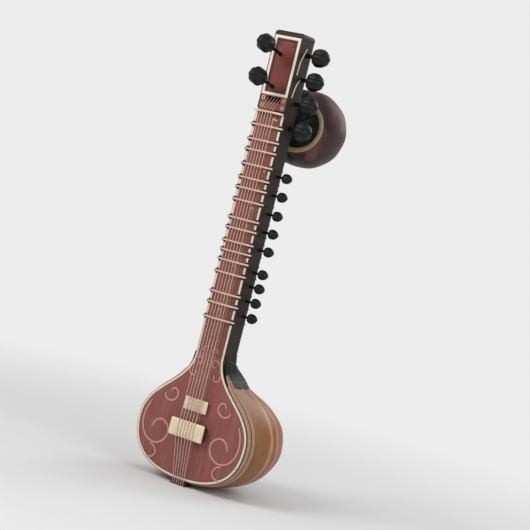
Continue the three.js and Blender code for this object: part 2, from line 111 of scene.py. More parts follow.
SMALL_PEGS = [sum(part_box(f"small_peg_{i}"), Vector()).z / 2 for i in range(1, 10)]
SIDE_PEGS = [sum(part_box(f"side_peg_{i}"), Vector()).z / 2 for i in range(1, 5)]

# ---- shader building ----


def linear(code):
    """The linear colour for a six-digit screen colour."""
    parts = [int(code[i:i + 2], 16) / 255 for i in (0, 2, 4)]
    return [p / 12.92 if p <= 0.04045 else ((p + 0.055) / 1.055) ** 2.4 for p in parts] + [1.0]


class Paint:
    """A node material that is built up call by call."""

    def __init__(self, name, roughness, metallic=0.0, coat=0.0, specular=0.4):
        self.material = bpy.data.materials.new(name)
        self.material.use_nodes = True
        self.tree = self.material.node_tree
        self.surface = self.tree.nodes["Principled BSDF"]
        for key, amount in (("Roughness", roughness), ("Metallic", metallic), ("Coat Weight", coat),
                            ("Coat Roughness", 0.22), ("Specular IOR Level", specular)):
            self.surface.inputs[key].default_value = amount
        self.normal = None
        self.coords = self.node("ShaderNodeTexCoord")

    def node(self, kind, **settings):
        made = self.tree.nodes.new(kind)
        for key, value in settings.items():
            setattr(made, key, value)
        return made

    def link(self, source, target):
        self.tree.links.new(source, target)

    def stretched(self, scale):
        mapping = self.node("ShaderNodeMapping")
        mapping.inputs["Scale"].default_value = scale
        self.link(self.coords.outputs["Object"], mapping.inputs["Vector"])
        return mapping.outputs["Vector"]

    def noise(self, scale, detail, stretch=(1, 1, 1), distortion=0.0):
        made = self.node("ShaderNodeTexNoise")
        made.inputs["Scale"].default_value = scale
        made.inputs["Detail"].default_value = detail
        made.inputs["Distortion"].default_value = distortion
        self.link(self.stretched(stretch), made.inputs["Vector"])
        return made.outputs["Fac"]

    def cells(self, scale, stretch=(1, 1, 1)):
        made = self.node("ShaderNodeTexVoronoi")
        made.inputs["Scale"].default_value = scale
        self.link(self.stretched(stretch), made.inputs["Vector"])
        return made.outputs["Distance"]

    def value(self, name):
        return self.node("ShaderNodeAttribute", attribute_name=name).outputs["Fac"]

    def across_box(self, axis):
        """The place inside the object's own box along an axis, 0 to 1."""
        split = self.node("ShaderNodeSeparateXYZ")
        self.link(self.coords.outputs["Generated"], split.inputs[0])
        return split.outputs[axis]

    def math(self, operation, a, b):
        made = self.node("ShaderNodeMath", operation=operation)
        for slot, item in zip(made.inputs, (a, b)):
            if isinstance(item, (int, float)):
                slot.default_value = item
            else:
                self.link(item, slot)
        return made.outputs[0]

    def ramp(self, factor, stops):
        made = self.node("ShaderNodeValToRGB")
        band = made.color_ramp
        while len(band.elements) < len(stops):
            band.elements.new(0.5)
        for element, (place, colour) in zip(band.elements, stops):
            element.position = place
            element.color = linear(colour) if isinstance(colour, str) else [colour] * 3 + [1]
        self.link(factor, made.inputs["Fac"])
        return made.outputs["Color"]

    def mix(self, factor, a, b, blend="MIX"):
        made = self.node("ShaderNodeMix", data_type="RGBA", blend_type=blend)
        for key, item in (("Factor_Float", factor), ("A_Color", a), ("B_Color", b)):
            slot = next(s for s in made.inputs if s.identifier == key)
            if isinstance(item, (int, float)):
                slot.default_value = item
            elif isinstance(item, str):
                slot.default_value = linear(item)
            else:
                self.link(item, slot)
        return next(s for s in made.outputs if s.identifier == "Result_Color")

    def bump(self, height, strength, distance):
        made = self.node("ShaderNodeBump")
        made.inputs["Strength"].default_value = strength
        made.inputs["Distance"].default_value = distance
        self.link(height, made.inputs["Height"])
        if self.normal is not None:
            self.link(self.normal, made.inputs["Normal"])
        self.normal = made.outputs["Normal"]

    def rough(self, factor, low, high):
        made = self.node("ShaderNodeMapRange")
        made.inputs["To Min"].default_value = low
        made.inputs["To Max"].default_value = high
        self.link(factor, made.inputs["Value"])
        self.link(made.outputs["Result"], self.surface.inputs["Roughness"])

    def edges(self, colour, wear_colour, amount):
        """Worn colour on sharp edges, found by how pointed the surface is."""
        point = self.node("ShaderNodeNewGeometry").outputs["Pointiness"]
        mask = self.ramp(point, [(0.5, 0.0), (0.56, 1.0)])
        return self.mix(self.math("MULTIPLY", mask, amount), colour, wear_colour)

    def done(self, colour):
        self.link(colour, self.surface.inputs["Base Color"])
        if self.normal is not None:
            self.link(self.normal, self.surface.inputs["Normal"])
        return self.material


def wood(name, dark, light, accent, roughness, coat, grain=9.0, specular=0.3, top=None):
    """Lacquered wood with grain along the neck, soft mottling and worn edges.
    With a top colour, it turns brighter near the piece's top."""
    p = Paint(name, roughness, coat=coat, specular=specular)
    lines = p.noise(grain, 8, (18, 18, 1), 0.6)
    cloud = p.noise(24, 5, (1, 1, 0.6), 0.3)
    fine = p.noise(420, 3, (1, 1, 0.12))
    colour = p.ramp(lines, [(0.3, dark), (0.7, light)])
    colour = p.mix(p.ramp(cloud, [(0.42, 0.0), (0.72, 0.75)]), colour, accent)
    if top:
        colour = p.mix(p.ramp(p.across_box("Z"), [(0.62, 0.0), (0.95, 0.8)]), colour, top)
    colour = p.mix(p.math("MULTIPLY", fine, 0.25), colour, dark, "MULTIPLY")
    colour = p.edges(colour, light, 0.6)
    p.rough(cloud, roughness - 0.06, roughness + 0.12)
    p.bump(lines, 0.12, 0.0006)
    p.bump(fine, 0.08, 0.0003)
    return p.done(colour)


def gourd_paint(name, bands, patch, warm, dark, patch_share, roughness):
    """Polished gourd: curved bands by depth behind the rim, some of them painted highlight streaks, uneven
    patches and small specks.
    """
    p = Paint(name, roughness, coat=0.06, specular=0.22)
    warp = p.noise(6, 4, distortion=0.8)
    depth = p.math("ADD", p.value("lat"), p.math("MULTIPLY", p.math("SUBTRACT", warp, 0.5), 0.05))
    colour = p.ramp(depth, bands)
    cloud = p.noise(12, 6, (1, 1, 0.7), 0.5)
    colour = p.mix(p.ramp(cloud, [(0.5, 0.0), (0.64, patch_share)]), colour, patch)
    glow = p.noise(7, 5, (1, 1, 0.8), 1.4)
    colour = p.mix(p.ramp(glow, [(0.52, 0.0), (0.66, 0.6)]), colour, warm)
    specks = p.cells(150)
    colour = p.mix(p.ramp(specks, [(0.05, 0.3), (0.14, 0.0)]), colour, dark)
    streak = p.noise(60, 5, (1, 1, 0.3), 1.2)
    colour = p.mix(p.ramp(streak, [(0.55, 0.0), (0.8, 0.35)]), colour, dark, "MULTIPLY")
    p.rough(cloud, roughness - 0.05, roughness + 0.14)
    p.bump(cloud, 0.12, 0.002)
    p.bump(streak, 0.06, 0.0006)
    return p.done(colour)


def smooth_paint(name, base, shade, roughness, metallic=0.0, coat=0.15, scale=60, edge=None, specular=0.4):
    """A smooth material with soft tone changes, fine scratches and aged edges."""
    p = Paint(name, roughness, metallic, coat, specular)
    cloud = p.noise(scale, 5, distortion=0.4)
    scratch = p.noise(500, 3, (1, 1, 0.08))
    colour = p.mix(p.ramp(cloud, [(0.35, 0.0), (0.75, 1.0)]), base, shade)
    if edge:
        colour = p.edges(colour, edge, 0.55)
    p.rough(scratch, max(roughness - 0.1, 0.05), roughness + 0.12)
    p.bump(cloud, 0.1, 0.0005)
    p.bump(scratch, 0.06, 0.0002)
    return p.done(colour)


def bone_paint():
    """Polished bone: warm ivory with fine pores and faint streaks."""
    p = Paint("bone", 0.42, coat=0.1)
    streak = p.noise(40, 6, (6, 1, 1), 0.4)
    pores = p.cells(900, (0.4, 1, 1))
    colour = p.ramp(streak, [(0.3, "cab795"), (0.55, "d8c7a8"), (0.8, "e3d5ba")])
    colour = p.mix(p.ramp(pores, [(0.05, 0.35), (0.2, 0.0)]), colour, "a8946c")
    colour = p.edges(colour, "eee4cc", 0.5)
    p.bump(streak, 0.1, 0.0004)
    p.bump(pores, 0.05, 0.0002)
    return p.done(colour)


def carving_paint(name, top=None):
    """Dark green-black stained carving, with painted highlights on the high places and painted shade deep in
    the cuts.
    With a top colour, the stain fades into it near the piece's top."""
    p = Paint(name, 0.58, coat=0.0, specular=0.18)
    cloud = p.noise(60, 5)
    # painted highlight on the raised relief, painted shade in the cuts
    colour = p.ramp(p.value("relief"), [(0.0, "060808"), (0.4, "0d100f"), (0.75, "171b18"), (1.0, "323a31")])
    colour = p.mix(p.ramp(cloud, [(0.45, 0.0), (0.75, 0.5)]), colour, "101415")
    if top:
        colour = p.mix(p.ramp(p.across_box("Z"), [(0.45, 0.0), (0.98, 1.0)]), colour, top)
    grain = p.noise(300, 4, (1, 1, 0.15))
    p.rough(cloud, 0.4, 0.62)
    p.bump(grain, 0.12, 0.0004)
    return p.done(colour)


def thread_paint():
    """Waxed tie thread: fine twisted fibres."""
    p = Paint("tie_thread", 0.7)
    twist = p.noise(900, 3, (1, 1, 1), 1.5)
    p.bump(twist, 0.4, 0.0003)
    return p.done(p.ramp(twist, [(0.35, "1d1513"), (0.65, "38291f")]))


# Lower gourd bands: tan and brown tones, with lighter painted highlight streaks near 0.227, 0.318 and 0.64.
LOWER_TONES_AND_HIGHLIGHTS = [(0.0, "8c6545"), (0.08, "8a5f3c"), (0.17, "845535"), (0.205, "8f5c3c"), (0.227, "c08d6a"),
               (0.25, "8f5838"), (0.29, "8b5335"), (0.318, "bb8763"), (0.345, "8f5738"), (0.42, "985f48"),
               (0.60, "9a6048"), (0.64, "b07a5c"), (0.68, "94593f"), (1.0, "7a4a37")]
UPPER_BANDS = [(0.0, "1d1414"), (0.2, "2c1e1c"), (0.4, "3a2523"), (0.55, "2d1f1e"),
               (0.75, "352322"), (1.0, "231918")]

PAINT = {
    "soundboard": wood("soundboard_wood", "7a443d", "935b54", "8a4840", 0.5, 0.05),
    "fingerboard": wood("fingerboard_wood", "663a31", "7e4a3d", "733d32", 0.5, 0.05),
    "neck": wood("neck_wood", "1b1211", "2c1f1d", "331f22", 0.5, 0.02, 6.0, 0.2),
    "panel": wood("panel_wood", "541d15", "6e2c22", "782918", 0.45, 0.04, top="8f3526"),
    "gourd": gourd_paint("gourd_skin", LOWER_TONES_AND_HIGHLIGHTS, "74522f", "8f4f38", "5a3a2a", 0.6, 0.4),
    "tumba": gourd_paint("upper_gourd_skin", UPPER_BANDS, "6b403b", "43302f", "1c1414", 0.75, 0.5),
    "tan": smooth_paint("tan_wood", "9d7a62", "876650", 0.5, coat=0.05, edge="b8957c"),
    "ring": smooth_paint("ring_wood", "8e7a5c", "75644a", 0.5, coat=0.05, edge="a8946f"),
    "olive": smooth_paint("olive_line", "4f4530", "3b3324", 0.55),
    "carving": carving_paint("dark_carving"),
    "collar": carving_paint("collar_carving", "2a1e1d"),
    "peg": smooth_paint("peg_wood", "070808", "0e1010", 0.45, coat=0.0, scale=90, edge="24272a",
                        specular=0.22),
    "cream": smooth_paint("cream_inlay", "d6c2ac", "c7b093", 0.42, edge="e6d8c6"),
    "sage": smooth_paint("sage_inlay", "8b9480", "747e6a", 0.5, coat=0.05),
    "pink": smooth_paint("pink_inlay", "b67d70", "a86c60", 0.48, edge="c99386"),
    "line": smooth_paint("dark_line", "1f1613", "2c201a", 0.55),
    "bone": bone_paint(),
    "bridge_wood": wood("bridge_wood", "2c2018", "463424", "3a2a1c", 0.5, 0.03),
    "brass": smooth_paint("fret_brass", "c9ab99", "b5957f", 0.4, 0.2, 0.1, edge="e2cdbf"),
    "string": smooth_paint("string_metal", "d3aca0", "bf968a", 0.36, 0.25, 0.0),
    "wire": smooth_paint("sympathetic_wire", "b9988a", "9c7f73", 0.36, 0.3, 0.0),
    "thread": thread_paint(),
}

# ---- mesh building ----


def piece(name, body_shape, paint, body="root", attributes=None):
    """A finished piece from (points, faces): normals out, smooth with crisp edges, riding on its body."""
    points, faces = body_shape
    mesh = bpy.data.meshes.new(name)
    mesh.from_pydata([tuple(map(float, p)) for p in points], [], [tuple(map(int, f)) for f in faces])
    work = bmesh.new()
    work.from_mesh(mesh)
    bmesh.ops.recalc_face_normals(work, faces=work.faces)
    work.to_mesh(mesh)
    work.free()
    mesh.shade_smooth()
    mesh.set_sharp_from_angle(angle=math.radians(40))
    for key, values in (attributes or {}).items():
        layer = mesh.attributes.new(key, "FLOAT", "POINT")
        layer.data.foreach_set("value", np.asarray(values, np.float32))
    made = bpy.data.objects.new(name, mesh)
    bpy.context.scene.collection.objects.link(made)
    mesh.materials.append(PAINT[paint])
    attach(made, body)
    return made


def grid_faces(rows, cols, wrap_cols=False, wrap_rows=False):
    faces = []
    for i in range(rows if wrap_rows else rows - 1):
        for j in range(cols if wrap_cols else cols - 1):
            across, down = (j + 1) % cols, (i + 1) % rows
            faces.append((i * cols + j, i * cols + across, down * cols + across, down * cols + j))
    return faces


def capped(rings, count):
    """Faces over rings of count points each, closed to one point before them and one after."""
    faces = [tuple(1 + i for i in face) for face in grid_faces(rings, count, wrap_cols=True)]
    last = 1 + rings * count
    for j in range(count):
        k = (j + 1) % count
        faces += [(0, 1 + k, 1 + j), (last, last - count + j, last - count + k)]
    return faces


def closed_sheet(front, back):
    """A thin closed body between two grids of points with the same (rows, columns, 3) shape."""
    rows, columns = front.shape[:2]
    count = rows * columns
    faces = grid_faces(rows, columns)
    faces += [tuple(i + count for i in face[::-1]) for face in faces]
    border = (list(range(columns)) + [i * columns + columns - 1 for i in range(1, rows)]
              + [(rows - 1) * columns + j for j in range(columns - 2, -1, -1)]
              + [i * columns for i in range(rows - 2, 0, -1)])
    faces += [(b, a, a + count, b + count) for a, b in zip(border, border[1:] + border[:1])]
    return np.vstack([front.reshape(-1, 3), back.reshape(-1, 3)]), faces


def sweep(path, section, up=(0, -1, 0), closed=False, scales=None):
    """A closed body along a 3-D path. The section's first axis lies across, its second along up."""
    path, section = np.asarray(path, float), np.asarray(section, float)
    count, sides = len(path), len(section)
    tangent = np.roll(path, -1, 0) - np.roll(path, 1, 0) if closed else np.gradient(path, axis=0)
    tangent /= np.linalg.norm(tangent, axis=1)[:, None]
    across = np.cross(tangent, np.broadcast_to(np.asarray(up, float), (count, 3)))
    across /= np.linalg.norm(across, axis=1)[:, None]
    rise = np.cross(across, tangent)
    scales = np.ones(count) if scales is None else np.asarray(scales, float)
    offset = (section[None, :, 0, None] * across[:, None, :] + section[None, :, 1, None] * rise[:, None, :])
    points = (path[:, None, :] + offset * scales[:, None, None]).reshape(-1, 3)
    faces = grid_faces(count, sides, wrap_cols=True, wrap_rows=closed)
    if not closed:
        faces += [tuple(range(sides))[::-1], tuple(range((count - 1) * sides, count * sides))]
    return points, faces


def merged(parts):
    """Joins several (points, faces) bodies into one."""
    points, faces, offset = [], [], 0
    for more_points, more_faces in parts:
        points.extend(more_points)
        faces.extend(tuple(i + offset for i in face) for face in more_faces)
        offset += len(more_points)
    return points, faces


def pillow(width, height, count, power=2.0):
    """A section between an ellipse (power 2) and a bar with rounded corners (higher powers)."""
    turn = np.linspace(0, 2 * math.pi, count, endpoint=False)
    c, s = np.cos(turn), np.sin(turn)
    grow = (np.abs(c) ** power + np.abs(s) ** power) ** (-1 / power)
    return np.stack([c * grow * width / 2, s * grow * height / 2], 1)


def ring_path(centre, radius, axis, count):
    """Points of a circle about a coordinate axis (0, 1 or 2)."""
    turn = np.linspace(0, 2 * math.pi, count, endpoint=False)
    points = np.zeros((count, 3))
    points[:, (axis + 1) % 3] = radius * np.cos(turn)
    points[:, (axis + 2) % 3] = radius * np.sin(turn)
    return points + np.asarray(centre, float)


def hoop(centre, radius, axis, width, height, count=24, sides=8):
    """A closed ring about a coordinate axis, with an oval section."""
    return sweep(ring_path(centre, radius, axis, count), pillow(width, height, sides),
                 up=np.eye(3)[axis], closed=True)


def turned(profile, sides, lobe=None):
    """A turned body about +Z from (radius, height) points that start and end on the axis.
    lobe(height, turn) scales the radius."""
    turn = np.linspace(0, 2 * math.pi, sides, endpoint=False)
    points = [(0, 0, profile[0][1])]
    for radius, height in profile[1:-1]:
        grow = np.ones(sides) if lobe is None else lobe(height, turn)
        points.extend(zip(radius * grow * np.cos(turn), radius * grow * np.sin(turn), np.full(sides, height)))
    points.append((0, 0, profile[-1][1]))
    return np.array(points, float), capped(len(profile) - 2, sides)


def smooth_line(points, count):
    """A Catmull-Rom curve through the points."""
    points = np.asarray(points, float)
    padded = np.vstack([2 * points[0] - points[1], points, 2 * points[-1] - points[-2]])
    place = np.linspace(0, len(points) - 1, count)
    i = np.minimum(place.astype(int), len(points) - 2)
    t = (place - i)[:, None]
    a, b, c, d = (padded[i + k] for k in range(4))
    return 0.5 * (2 * b + (c - a) * t + (2 * a - 5 * b + 4 * c - d) * t ** 2
                  + (3 * b - a - 3 * c + d) * t ** 3)


# ---- the face: outline, soundboard and binding ----


def bezier(a, b, c, d, count):
    t = np.linspace(0, 1, count)[:, None]
    a, b, c, d = (np.array(p, float) for p in (a, b, c, d))
    return (1 - t) ** 3 * a + 3 * (1 - t) ** 2 * t * b + 3 * (1 - t) * t ** 2 * c + t ** 3 * d


def face_outline(top=None):
    """Outer edge of the binding as (x, z) points, from the right side of the neck round to the left."""
    lowest = BOWL_Z - BOWL_BOTTOM
    shoulder = bezier((NECK_HALF, NECK_BASE), (NECK_HALF, NECK_BASE - THROAT_PULL),
                      (BOWL_HALF, BOWL_Z + SHOULDER_PULL), (BOWL_HALF, BOWL_Z), 64)
    bottom = bezier((BOWL_HALF, BOWL_Z), (BOWL_HALF, BOWL_Z - lowest * BOTTOM_FULLNESS),
                    (BOWL_HALF * BOTTOM_FULLNESS, BOWL_BOTTOM), (0, BOWL_BOTTOM), 64)
    right = np.vstack([shoulder, bottom[1:]])
    if top is not None:
        rise = np.linspace(top, NECK_BASE, 40)[:-1]
        right = np.vstack([np.stack([np.full(len(rise), NECK_HALF), rise], 1), right])
    return np.vstack([right, right[-2::-1] * (-1, 1)])


def inset(line, distance):
    """Moves an open (x, z) line toward the inside of the face."""
    along = np.gradient(line, axis=0)
    along /= np.linalg.norm(along, axis=1)[:, None]
    return line + np.stack([along[:, 1], -along[:, 0]], 1) * distance


def on_face(line, y):
    return np.stack([line[:, 0], np.full(len(line), y), line[:, 1]], 1)


def soundboard():
    """A board with a slight crown toward its middle and an eased edge."""
    edge = inset(face_outline(), BINDING_WIDTH + GAP)
    centre = np.array([0.0, BOWL_Z])
    crown = 0.0012
    layers = [(1.0, 0.0010), (0.997, 0.0003)]
    layers += [(share, 0.0) for share in (0.985, 0.94, 0.85, 0.7, 0.5, 0.3, 0.12)]
    rings = [on_face(edge, FACE)]
    for share, drop in layers:
        rings.append(on_face(centre + (edge - centre) * share, drop - crown * (1 - share ** 2)))
    points = np.vstack([[(0, FACE, BOWL_Z)]] + rings + [[(0, -crown, BOWL_Z)]])
    made = piece("soundboard_panel", (points, capped(len(rings), len(edge))), "soundboard")
    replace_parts(made, "soundboard")


def binding():
    """The cream strip round the face, with a dark line each side of it."""
    line = face_outline(plate_high.z)
    strip = on_face(inset(line, BINDING_WIDTH / 2), FACE / 2)
    made = piece("binding_strip", sweep(strip, pillow(BINDING_WIDTH - 0.0006, FACE + 0.0006, 16, 6)), "cream")
    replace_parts(made, "face_binding")
    inner = on_face(inset(line, BINDING_WIDTH + 0.0004), 0.0010)
    outer = on_face(inset(line, -0.0002), 0.0024)
    piece("purfling_inner", sweep(inner, pillow(0.0018, 0.0030, 10)), "line")
    piece("purfling_outer", sweep(outer, pillow(0.0022, 0.0036, 10)), "line")


# ---- lower gourd and its rim band ----


def gourd_reach(x, z, angle):
    """How far the gourd reaches from its middle line, in the direction (x, z) of a rim point."""
    rim = np.hypot(x, z)
    across, up = x / rim, z / rim
    height = np.where(up > 0, BACK_HEIGHT, BOWL_Z - BOWL_BOTTOM)
    oval = 1 / np.hypot(across / BOWL_HALF, up / height)
    bulge = SIDE_BULGE * across ** 2 + np.where(up > 0, TOP_BULGE, BOTTOM_BULGE) * up ** 2
    reach = rim + (oval - rim) * np.sin(angle) ** 0.7
    return reach * (np.cos(angle) + bulge * np.sin(2 * angle))


def gourd_point(line, angle, grow):
    """Points of the gourd's surface over a rim line at an angle behind the face, grown outward."""
    x, z = line[:, 0], line[:, 1] - BOWL_Z
    share = (gourd_reach(x, z, angle) + grow * np.cos(angle)) / np.hypot(x, z)
    y = WOOD_FRONT + (GOURD_DEPTH + grow) * np.sin(angle) * np.ones(len(line))
    return np.stack([x * share, y, BOWL_Z + z * share], 1)


def closed_rim():
    """The face's outline, closed across the foot of the neck."""
    top = np.linspace(-NECK_HALF, NECK_HALF, 14)[1:-1]
    return np.vstack([face_outline(), np.stack([top, np.full(len(top), NECK_BASE)], 1)])


def lower_gourd():
    rim = closed_rim()
    rows, count = 66, len(rim)
    angles = math.pi / 2 * np.linspace(0, 1, rows + 1)[:-1] ** 1.25
    turn = np.arctan2(rim[:, 0], BOWL_Z - rim[:, 1])
    points, depth = [(0, WOOD_FRONT, BOWL_Z)], [0.0]
    for row, angle in enumerate(angles):
        ripple = 0.0009 * np.cos(turn * 13) * math.sin(angle * 2) ** 2
        ring = gourd_point(rim, angle, ripple)
        for _ in range(min(row, 20)):      # the rim's corners at the neck fade out behind the face
            ring = (np.roll(ring, 1, 0) + 2 * ring + np.roll(ring, -1, 0)) / 4
        points.extend(ring)
        depth.extend([angle / (math.pi / 2)] * count)
    points.append((0, WOOD_FRONT + GOURD_DEPTH, BOWL_Z))
    depth.append(1.0)
    made = piece("gourd_body", (points, capped(rows, count)), "gourd", attributes={"lat": depth})
    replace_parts(made, "lower_gourd")


def rim_band():
    """Two raised tan rings with an olive groove between, round the gourd just behind the face.
    Beside the neck they narrow and rise over the collar."""
    line = face_outline()
    height = line[:, 1]
    reach = np.interp(height, [0.0, 0.24, 0.31, NECK_BASE], [RIM_REACH, RIM_REACH, 0.011, 0.007])
    lift = np.interp(height, [0.0, 0.262, 0.290, NECK_BASE], [0.0010, 0.0010, 0.0038, 0.0030])
    steps = np.linspace(0, 1, 9)
    for name, start, stop, paint, crest in (("rim_ring_front", 0.06, 0.46, "tan", 0.0022),
                                            ("rim_groove", 0.40, 0.66, "olive", 0.0003),
                                            ("rim_ring_back", 0.60, 1.0, "tan", 0.0026)):
        def row(share, grow):
            angle = np.arcsin((start + (stop - start) * share) * reach / GOURD_DEPTH)
            return gourd_point(line, angle, lift + grow)
        outer = np.array([row(s, crest * math.sin(math.pi * s) ** 0.7) for s in steps])
        inner = np.array([row(s, -0.0025) for s in steps])
        made = piece(name, closed_sheet(outer, inner), paint)
        if name == "rim_ring_front":
            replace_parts(made, "gourd_rim_band")


# ---- the carved collar between neck and gourd ----


def rim_distance(direction):
    """Distance from the bowl's middle to its rim, by direction from straight up."""
    rim = closed_rim()
    turn = np.arctan2(rim[:, 0], rim[:, 1] - BOWL_Z)
    order = np.argsort(turn)
    far = np.hypot(rim[:, 0], rim[:, 1] - BOWL_Z)
    return np.interp(direction, turn[order], far[order], period=2 * math.pi)


def inside_gourd(x, y, z):
    away = np.maximum(np.hypot(x, z - BOWL_Z), 1e-9)
    rim = rim_distance(np.arctan2(x, z - BOWL_Z))
    angle = np.arcsin(np.clip((y - WOOD_FRONT) / GOURD_DEPTH, 0, 1))
    return away < gourd_reach(x / away * rim, (z - BOWL_Z) / away * rim, angle)


def inside_neck(x, y, z):
    back = (x / NECK_HALF) ** 2 + ((y - NECK_SIDE) / (NECK_DEPTH - NECK_SIDE)) ** 2 < 1
    return (np.abs(x) < NECK_HALF) & ((y < NECK_SIDE) | back)


def wall_radius(inside, turn, z):
    """Distance from the neck's front to a body's wall, by bisection, for arrays of turn and z."""
    low, high = np.zeros_like(turn), np.full_like(turn, 0.4)
    for _ in range(30):
        middle = (low + high) / 2
        hit = inside(middle * np.cos(turn), WOOD_FRONT + middle * np.sin(turn), z)
        low, high = np.where(hit, middle, low), np.where(hit, high, middle)
    return low


def collar():
    """A leaf-carved cap that flows from the neck on to the gourd's shoulder."""
    columns, rows, leaves = 241, 80, 9
    turn, t = np.meshgrid(np.linspace(0, math.pi, columns), np.linspace(0, 1, rows))
    phase = turn / math.pi * leaves
    leaf = np.abs(np.sin(phase * math.pi))
    low = COLLAR_LOW + 0.001 - 0.003 * leaf ** 0.8
    z = collar_high.z + (low - collar_high.z) * t
    blend = 8
    wall = sum(wall_radius(inside, turn, z) ** blend for inside in (inside_gourd, inside_neck)) ** (1 / blend)
    rise = (z - low) / (collar_high.z - low)
    vein = np.exp(-((phase % 1 - 0.5) / 0.05) ** 2)
    ribs = 0.5 + 0.5 * np.cos((rise * 10 + np.abs(phase % 1 - 0.5) * 6) * 2 * math.pi)
    outline = np.clip((leaf - 0.1) / 0.25, 0, 1)
    outline *= np.clip((0.92 - rise) * 4, 0, 1) * np.clip(rise / 0.05, 0, 1)
    relief = outline * (0.3 + 0.4 * vein + 0.3 * ribs * (1 - vein))
    lift = 0.0008 + 0.0026 * np.clip(t * 4, 0, 1) + 0.0015 * relief
    lift *= np.clip(t * 30, 0.3, 1)

    def wall_points(radius):
        return np.stack([radius * np.cos(turn), WOOD_FRONT + radius * np.sin(turn), z], -1)
    outer = wall_points(wall + lift)
    made = piece("carved_collar", closed_sheet(outer, wall_points(wall - 0.002)), "collar",
                 attributes={"relief": np.r_[relief.reshape(-1), np.zeros(relief.size)]})
    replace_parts(made, "neck_collar")
    profile = [(0, -0.0016), (0.0014, -0.0009), (0.0017, 0), (0.0013, 0.0010), (0, 0.0015)]
    bead, bead_faces = turned(profile, 8)
    bead_row, beads = int(rows * 0.84), []
    for i in range(leaves * 2):
        column = int((i + 0.5) / (leaves * 2) * (columns - 1))
        beads.append((bead * (1, 1, 2) + outer[bead_row, column], bead_faces))
    piece("collar_pearls", merged(beads), "sage")


# ---- scrolls on the soundboard ----


def curl(centre, start, turn, inner, outer):
    """An (x, z) curl: its radius grows from inner to outer as it turns, angles in degrees."""
    t = np.linspace(0, 1, 40)
    angle = np.radians(start + turn * t)
    reach = inner + (outer - inner) * t
    return np.stack([centre[0] + reach * np.cos(angle), centre[1] + reach * np.sin(angle)], 1)


def inlay(name, line, width):
    """A raised strip on the soundboard along an (x, z) line, thin at its ends."""
    t = np.linspace(0, 1, len(line))
    scales = 0.4 + 0.6 * np.clip(np.sin(math.pi * (t * 0.96 + 0.02)) * 4, 0, 1)
    piece(name, sweep(on_face(line, -0.0014), pillow(width, 0.0014, 10, 3), scales=scales), "pink")


def scrolls():
    """Mirrored pairs of curls: a large one low on each side whose tail follows the rim, and smaller ones."""
    big = [(0.124, 0.124), (0.116, 0.142), (0.097, 0.151), (0.077, 0.141), (0.069, 0.121), (0.079, 0.099),
           (0.104, 0.086), (0.132, 0.093), (0.150, 0.115), (0.156, 0.143), (0.151, 0.172), (0.141, 0.194)]
    low = [(0.116, 0.082), (0.102, 0.075), (0.094, 0.061), (0.102, 0.048), (0.118, 0.044)]
    upper = [(0.089, 0.230), (0.083, 0.240), (0.072, 0.238), (0.066, 0.226), (0.072, 0.212), (0.087, 0.206),
             (0.102, 0.211), (0.106, 0.222)]
    curls = {
        "scroll_big": (smooth_line(big, 90), 0.0052),
        "scroll_low": (smooth_line(low, 40), 0.0046),
        "scroll_upper": (smooth_line(upper, 50), 0.0048),
        "scroll_shoulder": (curl((0.037, 0.298), 150, 250, 0.008, 0.0125), 0.0038),
        "scroll_neck": (curl((0.024, 0.330), -60, -290, 0.007, 0.0125), 0.0036),
        "scroll_throat": (curl((0.014, 0.362), 210, -240, 0.006, 0.0105), 0.0030),
    }
    for name, (line, width) in curls.items():
        inlay(f"{name}_right", line, width)
        inlay(f"{name}_left", line * (-1, 1), width)


# ---- head ----


def head_details():
    """Dark lines on the panel, cream lines on the head's sides, rings on the crest."""
    margin = 0.0098
    inner = frame_high.x - margin
    low, high = frame_low.z + margin, frame_high.z - margin
    corners = np.array([(inner, low), (inner, high), (-inner, high), (-inner, low), (inner, low)])
    loop = np.vstack([a + (b - a) * np.linspace(0, 1, 15)[:-1, None] for a, b in zip(corners, corners[1:])])
    piece("panel_line", sweep(on_face(loop, 0.0006), pillow(0.0056, 0.0026, 12, 3), closed=True), "line")
    curls = []
    for end, z in ((1, high - 0.011), (-1, low + 0.011)):
        for side in (1, -1):
            line = curl((inner - 0.012, 0), 200, 280, 0.0025, 0.0078) * (side, end) + (0, z)
            curls.append(sweep(on_face(line, 0.0008), pillow(0.0026, 0.0018, 8)))
    piece("panel_corner_curls", merged(curls), "line")
    lines = []
    for side in (1, -1):
        for start, middle, stop in (((0.014, 1.052), (0.024, 1.090), (0.044, 1.112)),
                                    ((0.012, 1.112), (0.016, 1.150), (0.032, 1.186))):
            curve = smooth_line([start, middle, stop], 24)
            path = np.stack([np.full(len(curve), side * NECK_HALF), curve[:, 0], curve[:, 1]], 1)
            lines.append(sweep(path, pillow(0.0040, 0.0014, 8), up=(side, 0, 0)))
    piece("head_side_inlay", merged(lines), "cream")
    rings = [hoop((x, -0.0002, z), 0.0042, 1, 0.0014, 0.0012)
             for x in (-0.032, 0.032) for z in (crest_low.z + 0.009, crest_high.z - 0.009)]
    piece("crest_rings", merged(rings), "cream")


# ---- bridges, nut and the side string's pin ----


def beam(x, top, bottom, low, high, sides=28, power=5.0, crown=0.0):
    """A closed body along X. Each x has its own top and bottom y; its front face rises toward the
    middle by crown, and its ends are rounded in."""
    top, bottom = np.broadcast_to(top, x.shape), np.broadcast_to(bottom, x.shape)
    section = pillow(1, 1, sides, power)
    a, b = section[None, :, 0], section[None, :, 1]
    end = np.minimum(x - x[0], x[-1] - x) / 0.002
    ease = np.clip(1 - (1 - np.clip(end, 0, 1)) ** 2, 0, 1)[:, None] ** 0.5
    size = 0.86 + 0.14 * ease
    depth = (bottom - top)[:, None]
    y = ((top + bottom) / 2)[:, None] + b * depth * size
    y = y + crown * (2 * a) ** 2 * np.clip(-b * 4, 0, 1)
    z = (low + high) / 2 + a * (high - low) * size
    points = np.stack([np.broadcast_to(x[:, None], y.shape), y, z], -1).reshape(-1, 3)
    count = len(x)
    faces = grid_faces(count, sides, wrap_cols=True)
    faces += [tuple(range(sides))[::-1], tuple(range((count - 1) * sides, count * sides))]
    return points, faces


